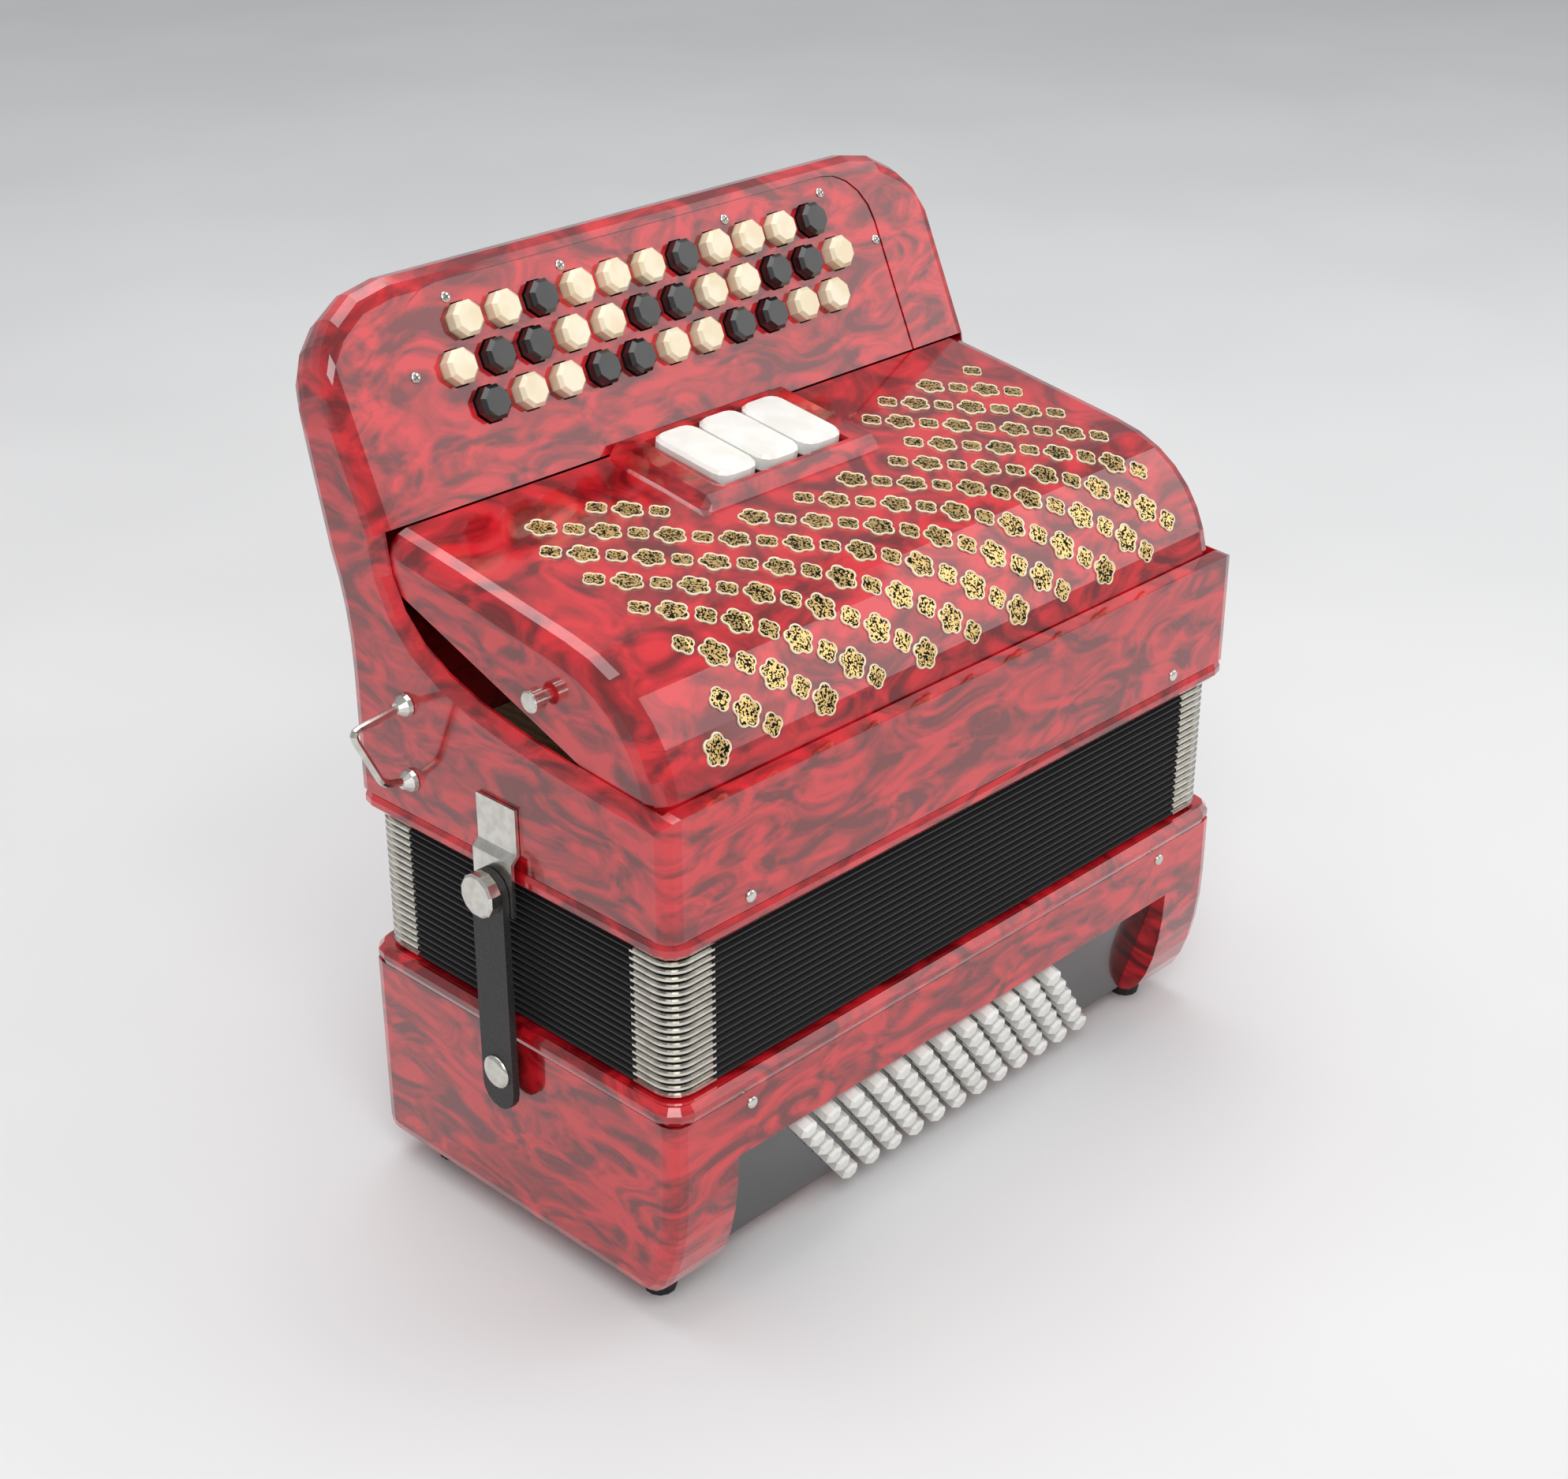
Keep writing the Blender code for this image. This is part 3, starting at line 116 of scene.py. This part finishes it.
def build_material(finish: Finish) -> bpy.types.Material:
    """Build the node material of a finish.

    Args:
        finish: The finish to build.

    Returns:
        The material, made once and shared by every piece that uses the finish.
    """
    if finish.name in bpy.data.materials and finish.name + "_ready" in bpy.data.materials[finish.name]:
        return bpy.data.materials[finish.name]
    material = bpy.data.materials.new(finish.name)
    material[finish.name + "_ready"] = True
    material.use_nodes = True
    nodes = material.node_tree.nodes
    links = material.node_tree.links
    shader = nodes["Principled BSDF"]
    shader.inputs["Roughness"].default_value = finish.roughness
    shader.inputs["Metallic"].default_value = finish.metallic
    shader.inputs["Coat Weight"].default_value = finish.coat
    shader.inputs["Coat Roughness"].default_value = 0.05
    coordinates = nodes.new("ShaderNodeTexCoord")
    mapping = nodes.new("ShaderNodeMapping")
    mapping.inputs["Scale"].default_value = finish.stretch
    links.new(coordinates.outputs["Object"], mapping.inputs["Vector"])
    ramp = nodes.new("ShaderNodeValToRGB")
    ramp.color_ramp.elements[0].color = finish.base
    ramp.color_ramp.elements[1].color = finish.accent
    if finish.pattern is Pattern.GLITTER:
        texture = nodes.new("ShaderNodeTexVoronoi")
        value = texture.outputs["Color"]
        height = texture.outputs["Color"]
        ramp.color_ramp.interpolation = "CONSTANT"
        ramp.color_ramp.elements[1].position = 0.45
    elif finish.pattern in (Pattern.RIBS, Pattern.WOOD):
        texture = nodes.new("ShaderNodeTexWave")
        texture.inputs["Distortion"].default_value = 0.4 if finish.pattern is Pattern.RIBS else 5.0
        value = texture.outputs["Fac"]
        height = texture.outputs["Fac"]
    elif finish.pattern is Pattern.GRAIN:
        texture = nodes.new("ShaderNodeTexVoronoi")
        value = texture.outputs["Distance"]
        height = texture.outputs["Distance"]
    else:
        texture = nodes.new("ShaderNodeTexNoise")
        pearl = finish.pattern is Pattern.PEARL
        texture.inputs["Detail"].default_value = 5.0 if pearl else 2.0
        texture.inputs["Distortion"].default_value = 2.2 if pearl else 0.0
        ramp.color_ramp.elements[0].position = 0.38
        ramp.color_ramp.elements[1].position = 0.62
        value = texture.outputs["Fac"]
        height = texture.outputs["Fac"]
    texture.inputs["Scale"].default_value = finish.scale
    links.new(mapping.outputs["Vector"], texture.inputs["Vector"])
    links.new(value, ramp.inputs["Fac"])
    links.new(ramp.outputs["Color"], shader.inputs["Base Color"])
    if finish.bump:
        bump = nodes.new("ShaderNodeBump")
        bump.inputs["Strength"].default_value = finish.bump
        bump.inputs["Distance"].default_value = 0.0004
        links.new(height, bump.inputs["Height"])
        links.new(bump.outputs["Normal"], shader.inputs["Normal"])
    return material


@dataclass
class MeshBuilder:
    """Collects the vertices and faces of one piece."""

    vertices: list[Vector] = field(default_factory=list)
    faces: list[list[int]] = field(default_factory=list)

    def loft(self, rings: list[list[Vector]], joined: bool = False, capped: bool = True) -> None:
        """Add a skin over rings of the same length.

        Args:
            rings: Closed rings of points, in order.
            joined: Whether the last ring runs back to the first.
            capped: Whether the first and last rings are closed with a face.
        """
        start = len(self.vertices)
        count = len(rings[0])
        for ring in rings:
            self.vertices.extend(ring)
        for index in range(len(rings) if joined else len(rings) - 1):
            low = start + index * count
            high = start + ((index + 1) % len(rings)) * count
            for step in range(count):
                other = (step + 1) % count
                self.faces.append([low + step, low + other, high + other, high + step])
        if capped and not joined:
            last = start + (len(rings) - 1) * count
            self.faces.append([start + step for step in reversed(range(count))])
            self.faces.append([last + step for step in range(count)])

    def build(self, name: str, finish: Finish, slot: str | None = None, smooth: bool = True) -> bpy.types.Object:
        """Make the object.

        Args:
            name: Its name.
            finish: Its finish.
            slot: The record's material slot, where it has one; not used.
            smooth: Whether its faces are shaded smooth.

        Returns:
            The new object, linked to the scene.
        """
        mesh = bpy.data.meshes.new(name)
        mesh.from_pydata([tuple(v) for v in self.vertices], [], self.faces)
        mesh.update()
        for polygon in mesh.polygons:
            polygon.use_smooth = smooth
        piece = bpy.data.objects.new(name, mesh)
        bpy.context.scene.collection.objects.link(piece)
        piece.data.materials.append(build_material(finish))
        return piece


def node_surface(node: str) -> BVHTree:
    """Build a search tree over a frame node.

    Args:
        node: The node's name.

    Returns:
        The tree over its faces.
    """
    mesh = frame["nodes"][node].data
    return BVHTree.FromPolygons([v.co.copy() for v in mesh.vertices], [list(p.vertices) for p in mesh.polygons])


def tangents(normal: Vector) -> tuple[Vector, Vector]:
    """Find two directions across a normal.

    Args:
        normal: The normal.

    Returns:
        Two unit vectors at right angles to it and to each other.
    """
    first = Vector((1.0, 0.0, 0.0)) if abs(normal.x) < 0.8 else Vector((0.0, 1.0, 0.0))
    first = (first - normal * first.dot(normal)).normalized()
    return first, normal.cross(first)


def turned(builder: MeshBuilder, centre: Vector, normal: Vector, profile: list[tuple[float, float]],
           count: int = 28, knurl: float = 0.0) -> None:
    """Add a turned piece standing on a surface.

    Args:
        builder: The mesh to add to.
        centre: The foot of the piece.
        normal: Its axis, away from the surface.
        profile: Radius and height of each ring.
        count: Points in each ring.
        knurl: How far every second point is drawn in.
    """
    first, second = tangents(normal)
    rings = []
    for radius, height in profile:
        ring = []
        for step in range(count):
            angle = 2 * math.pi * step / count
            size = radius - (knurl if step % 2 else 0.0)
            ring.append(centre + normal * height + (first * math.cos(angle) + second * math.sin(angle)) * size)
        rings.append(ring)
    builder.loft(rings)


def rounded_outline(half_x: float, half_y: float, corner: float, centre: Vector, height: float) -> list[Vector]:
    """List the points of a rounded rectangle.

    Args:
        half_x: Half its length.
        half_y: Half its width.
        corner: Its corner radius.
        centre: Its middle, of which the height is not used.
        height: Its height.

    Returns:
        The points, anticlockwise.
    """
    points = []
    steps = 6
    for quarter, (sx, sy) in enumerate(((1, 1), (-1, 1), (-1, -1), (1, -1))):
        for step in range(steps + 1):
            angle = math.pi / 2 * (quarter + step / steps)
            x = centre.x + sx * (half_x - corner) + corner * math.cos(angle)
            y = centre.y + sy * (half_y - corner) + corner * math.sin(angle)
            points.append(Vector((x, y, height)))
    return points


@dataclass
class Bellows:
    """The folded bellows and the nickel guards on its corners."""

    folds: int = 20
    fold_depth: float = 0.0095
    ridge_flat: float = 0.0008
    corner: float = 0.010
    wall: float = 0.0015
    guard_leg: float = 0.012
    guard_half: float = 0.0010
    guard_proud: float = 0.0005

    def __post_init__(self) -> None:
        """Take the place of the bellows from the frame."""
        self.low, self.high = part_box("bellows")
        self.centre = (self.low + self.high) / 2
        self.half_x = (self.high.x - self.low.x) / 2 - self.guard_proud
        self.half_y = (self.high.y - self.low.y) / 2 - self.guard_proud
        self.pitch = (self.high.z - self.low.z) / self.folds

    def build(self) -> None:
        """Make the folds and their guards."""
        builder = MeshBuilder()
        rings = []
        inner = self.corner / 2
        for fold in range(self.folds + 1):
            base = self.low.z + fold * self.pitch
            rings.append(rounded_outline(self.half_x - self.fold_depth, self.half_y - self.fold_depth, inner,
                                         self.centre, base))
            if fold < self.folds:
                for side in (-1, 1):
                    height = base + self.pitch / 2 + side * self.ridge_flat / 2
                    rings.append(rounded_outline(self.half_x, self.half_y, self.corner, self.centre, height))
        inset = self.fold_depth + self.wall
        for height in (self.high.z, self.low.z):
            rings.append(rounded_outline(self.half_x - inset, self.half_y - inset, inner - self.wall, self.centre,
                                         height))
        builder.loft(rings, joined=True)
        cloth = builder.build("bellows_folds", FINISHES["black_cloth"], "black_cloth", smooth=False)
        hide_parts("bellows")
        guards = self.guards()
        for piece in (cloth, guards):
            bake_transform(piece)

    def guards(self) -> bpy.types.Object:
        """Make the corner guards.

        Returns:
            One object that holds every guard.
        """
        builder = MeshBuilder()
        for fold in range(self.folds):
            height = self.low.z + (fold + 0.5) * self.pitch
            outline = rounded_outline(self.half_x, self.half_y, self.corner, self.centre, height)
            for quarter in range(4):
                arc = outline[quarter * 7:quarter * 7 + 7]
                first_leg = (arc[0] - arc[1]).normalized()
                last_leg = (arc[-1] - arc[-2]).normalized()
                along = Vector((round(first_leg.x), round(first_leg.y), 0)) * self.guard_leg
                away = Vector((round(last_leg.x), round(last_leg.y), 0)) * self.guard_leg
                path = [arc[0] + along] + arc + [arc[-1] + away]
                rings = []
                for index, point in enumerate(path):
                    before = path[max(index - 1, 0)]
                    after = path[min(index + 1, len(path) - 1)]
                    direction = (after - before).normalized()
                    out = Vector((direction.y, -direction.x, 0))
                    rings.append([point + out * self.guard_proud + Vector((0, 0, self.guard_half / 2)),
                                  point + out * self.guard_proud - Vector((0, 0, self.guard_half / 2)),
                                  point - out * self.guard_half - Vector((0, 0, self.guard_half)),
                                  point - out * self.guard_half + Vector((0, 0, self.guard_half))])
                builder.loft(rings)
        return builder.build("bellows_corner_guards", FINISHES["nickel"], "nickel", smooth=False)


@dataclass
class Fretwork:
    """The blossom openings of the grille cover: pale bevelled rims around glittering cloth."""

    left: float = -0.136
    right: float = 0.146
    row_gap: float = 0.0080
    period: float = 0.0570
    row_shift: float = 0.0190
    big_radius: float = 0.0070
    small_radius: float = 0.0052
    first_angle: float = math.radians(20)
    last_angle: float = math.radians(117)
    hood_half: float = 0.060
    hood_depth: float = 0.088
    rim_height: float = 0.0008
    cloth_height: float = 0.0005

    def __post_init__(self) -> None:
        """Take the cover's surface from the frame."""
        self.surface = node_surface("grille_cover")

    def probe(self, x: float, angle: float) -> tuple[Vector, Vector] | None:
        """Find the cover's outer surface.

        Args:
            x: Place along the keyboard.
            angle: Direction seen from a line inside the cover, from the front upwards.

        Returns:
            The point and its outward normal, or None where there is no cover.
        """
        pivot = Vector((x, FRONT_Y + 0.09, 0.215))
        outward = Vector((0, -math.cos(angle), math.sin(angle)))
        point, normal, _, _ = self.surface.ray_cast(pivot + outward * 0.3, -outward)
        if point is None:
            return None
        return point, normal if normal.dot(outward) > 0 else -normal

    def rows(self) -> list[float]:
        """List the direction of each row of blossoms.

        Returns:
            Angles that lie one row gap apart along the surface.
        """
        angles = []
        travelled = self.row_gap
        previous = None
        angle = self.first_angle
        while angle <= self.last_angle:
            found = self.probe(0.10, angle)
            if found:
                if previous is not None:
                    travelled += (found[0] - previous).length
                previous = found[0]
                if travelled >= self.row_gap:
                    angles.append(angle)
                    travelled = 0.0
            angle += math.radians(0.25)
        return angles

    def outline(self, point: Vector, normal: Vector, radius: float, lobes: int, lift: float) -> list[Vector]:
        """Draw one lobed outline on the surface.

        Args:
            point: Middle of the blossom.
            normal: Surface normal there.
            radius: Size of the outline.
            lobes: Number of lobes.
            lift: Height above the surface.

        Returns:
            The points of the outline.
        """
        first, second = tangents(normal)
        count = lobes * 7
        points = []
        for step in range(count):
            angle = 2 * math.pi * step / count
            size = radius * (0.66 + 0.34 * abs(math.cos(lobes * angle / 2)) ** 0.6)
            place = point + (first * math.cos(angle) + second * math.sin(angle)) * size
            near, near_normal, _, _ = self.surface.find_nearest(place)
            up = near_normal if near_normal.dot(normal) > 0 else -near_normal
            points.append(near + up * lift)
        return points

    def build(self) -> None:
        """Make the rims and the cloth that shows inside them."""
        rims = MeshBuilder()
        cloth = MeshBuilder()
        count = 0
        for row, angle in enumerate(self.rows()):
            x = self.left + (row * self.row_shift) % (self.period / 2)
            index = int((row * self.row_shift) // (self.period / 2))
            while x <= self.right:
                lobes, radius = (5, self.big_radius) if index % 2 == 0 else (4, self.small_radius)
                found = self.probe(x, angle)
                hood = found and abs(x + 0.002) < self.hood_half and found[0].y - FRONT_Y > self.hood_depth
                if found and not hood:
                    point, normal = found
                    sizes = ((1.0, 0.0), (0.95, self.rim_height), (0.88, self.rim_height), (0.82, 0.0))
                    rims.loft([self.outline(point, normal, radius * share, lobes, lift) for share, lift in sizes],
                              joined=True)
                    cloth.loft([self.outline(point, normal, radius * 0.84, lobes, 0.0),
                                self.outline(point, normal, radius * 0.84, lobes, self.cloth_height)])
                    count += 1
                x += self.period / 2
                index += 1
        LOG.info("%d blossoms", count)
        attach(rims.build("fretwork_rims", FINISHES["cream_plastic"], "cream_plastic"), "treble_half")
        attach(cloth.build("fretwork_cloth", GLITTER, smooth=False), "treble_half")


@dataclass
class Hardware:
    """Screws, pins, snap caps and thumb screws."""

    lean: float = math.radians(24.5)
    screw_radius: float = 0.00225
    pin_radius: float = 0.0026
    cap_radius: float = 0.00725
    thumb_radius: float = 0.0045
    thumb_end: float = 0.176

    def dome(self, radius: float, height: float) -> list[tuple[float, float]]:
        """List the profile of a domed head.

        Args:
            radius: Its radius.
            height: Its height.

        Returns:
            Radius and height of each ring.
        """
        profile = [(radius, -0.0004), (radius, height * 0.25)]
        for step in (1, 2, 3, 4):
            angle = math.pi / 2 * step / 4.6
            profile.append((radius * math.cos(angle), height * (0.25 + 0.75 * math.sin(angle))))
        return profile

    def panel_screws(self) -> None:
        """Set the screws of the button panel."""
        heads = MeshBuilder()
        # Black bars over the heads stand for the screw slots: painted shade of the grooves, which are nickel like
        # the heads.
        slot_shade_bars = MeshBuilder()
        out = Vector((0, -math.cos(self.lean), math.sin(self.lean)))
        up = Vector((0, math.sin(self.lean), math.cos(self.lean)))
        places = [v.co for v in frame["nodes"]["button_panel"].data.vertices]
        level = max(p.dot(out) for p in places)
        top = max(p.dot(up) for p in places)
        for x, drop in ((-0.1065, 0.0065), (-0.047, 0.0065), (0.047, 0.0065), (0.1065, 0.0065), (-0.132, 0.033),
                        (0.132, 0.033)):
            foot = Vector((x, 0, 0)) + out * level + up * (top - drop)
            turned(heads, foot, out, self.dome(self.screw_radius, 0.0010))
            for turn in (0.4, 0.4 + math.pi / 2):
                along = Vector((1, 0, 0)) * math.cos(turn) + up * math.sin(turn)
                across = out.cross(along)
                rings = []
                for lift in (0.0006, 0.00106):
                    middle = foot + out * lift
                    rings.append([middle + along * a * 0.0013 + across * b * 0.00022
                                  for a, b in ((1, 1), (-1, 1), (-1, -1), (1, -1))])
                slot_shade_bars.loft(rings)
        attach(heads.build("panel_screws", FINISHES["nickel"], "nickel"), "treble_half")
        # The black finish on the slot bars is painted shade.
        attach(slot_shade_bars.build("panel_screw_slot_shade", FINISHES["black_plastic"], smooth=False), "treble_half")

    def on_node(self, node: str, origin: Vector, direction: Vector) -> Vector | None:
        """Find where a line meets a node.

        Args:
            node: The node's name.
            origin: Start of the line.
            direction: Its direction.

        Returns:
            The first point on the node, or None.
        """
        return node_surface(node).ray_cast(origin, direction)[0]

    def bellows_pins(self) -> None:
        """Set the pins that hold the bellows frames."""
        for name, body, node, height in (("treble_bellows_pins", "treble_half", "treble_casing", 0.1852),
                                         ("bass_bellows_pins", "bass_half", "bass_casing", 0.0928)):
            builder = MeshBuilder()
            for x in (-0.131, 0.131):
                for side in (-1, 1):
                    start = Vector((x, side * 0.3, height))
                    place = self.on_node(node, start, Vector((0, -side, 0)))
                    if place:
                        turned(builder, place, Vector((0, side, 0)), self.dome(self.pin_radius, 0.0014))
            if builder.faces:
                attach(builder.build(name, FINISHES["nickel"], "nickel"), body)

    def end_pieces(self) -> None:
        """Set the strap caps and the thumb screws at both ends."""
        for end, side in (("left", -1), ("right", 1)):
            strap = f"bellows_strap_{end}"
            low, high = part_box(strap)
            start = Vector((side * 0.3, (low.y + high.y) / 2, 0.0875))
            place = self.on_node(strap, start, Vector((-side, 0, 0)))
            if place:
                builder = MeshBuilder()
                turned(builder, place, Vector((side, 0, 0)), self.dome(self.cap_radius, 0.0025))
                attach(builder.build(f"strap_cap_{end}", FINISHES["nickel"], "nickel"), strap)
            start = Vector((side * 0.3, FRONT_Y + 0.0685, 0.2575))
            hits = [self.on_node(node, start, Vector((-side, 0, 0))) for node in ("treble_casing", "grille_cover")]
            hits = [hit for hit in hits if hit]
            if hits:
                place = max(hits, key=lambda hit: abs(hit.x))
                reach = max(self.thumb_end - abs(place.x), 0.004)
                profile = [(self.thumb_radius * 0.5, -0.0004), (self.thumb_radius * 0.5, reach * 0.3),
                           (self.thumb_radius, reach * 0.34), (self.thumb_radius, reach - 0.0006),
                           (self.thumb_radius - 0.0006, reach)]
                builder = MeshBuilder()
                turned(builder, place, Vector((side, 0, 0)), profile, 48, 0.00025)
                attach(builder.build(f"thumb_screw_{end}", FINISHES["nickel"], "nickel", smooth=False),
                        "treble_half")

    def build(self) -> None:
        """Make every small metal piece."""
        self.panel_screws()
        self.bellows_pins()
        self.end_pieces()


@dataclass
class Studio:
    """Floor, lights and camera."""

    floor_half: float = 3.0
    camera_place: tuple[float, float, float] = (-0.7107, -0.6805, 0.6678)
    camera_forward: tuple[float, float, float] = (0.6413, 0.6177, -0.4552)
    lens: float = 58.71

    def light(self, name: str, place: tuple[float, float, float], size: float, power: float) -> None:
        """Add a soft light aimed at the object.

        Args:
            name: Its name.
            place: Where it stands.
            size: Its side in metres.
            power: Its power in watts.
        """
        data = bpy.data.lights.new(name, "AREA")
        data.size = size
        data.energy = power
        lamp = bpy.data.objects.new(name, data)
        lamp.location = place
        lamp.rotation_euler = (Vector((0, 0, 0.18)) - Vector(place)).to_track_quat("-Z", "Y").to_euler()
        bpy.context.scene.collection.objects.link(lamp)

    def build(self) -> None:
        """Set the stage."""
        floor = MeshBuilder()
        half = self.floor_half
        floor.vertices = [Vector((x * half, y * half, 0)) for x, y in ((-1, -1), (1, -1), (1, 1), (-1, 1))]
        floor.faces = [[0, 1, 2, 3]]
        floor.build("floor", FLOOR, smooth=False)
        self.light("key_light", (-1.1, -1.3, 1.7), 1.4, 26)
        self.light("fill_light", (1.5, -1.0, 1.1), 1.6, 10)
        self.light("top_light", (0.1, 0.4, 2.0), 1.6, 18)
        scene = bpy.context.scene
        scene.view_settings.view_transform = "Standard"
        world = bpy.data.worlds.new("world")
        world.use_nodes = True
        world.node_tree.nodes["Background"].inputs["Color"].default_value = (0.80, 0.81, 0.83, 1)
        world.node_tree.nodes["Background"].inputs["Strength"].default_value = 0.55
        scene.world = world
        data = bpy.data.cameras.new("camera")
        data.lens = self.lens
        data.sensor_width = 36
        camera = bpy.data.objects.new("camera", data)
        camera.location = self.camera_place
        camera.rotation_euler = Vector(self.camera_forward).to_track_quat("-Z", "Y").to_euler()
        scene.collection.objects.link(camera)
        scene.camera = camera


def finish_nodes() -> None:
    """Give every frame node the finish of its material slot."""
    for entry in frame["record"]["subparts"]:
        node = frame["nodes"][entry["node"]]
        node.data.materials.clear()
        node.data.materials.append(build_material(FINISHES[entry["material_slot"]]))


def main() -> None:
    """Dress the frame and set the stage."""
    logging.basicConfig(level=logging.INFO)
    finish_nodes()
    Bellows().build()
    Fretwork().build()
    Hardware().build()
    Studio().build()


if __name__ == "__main__":
    main()
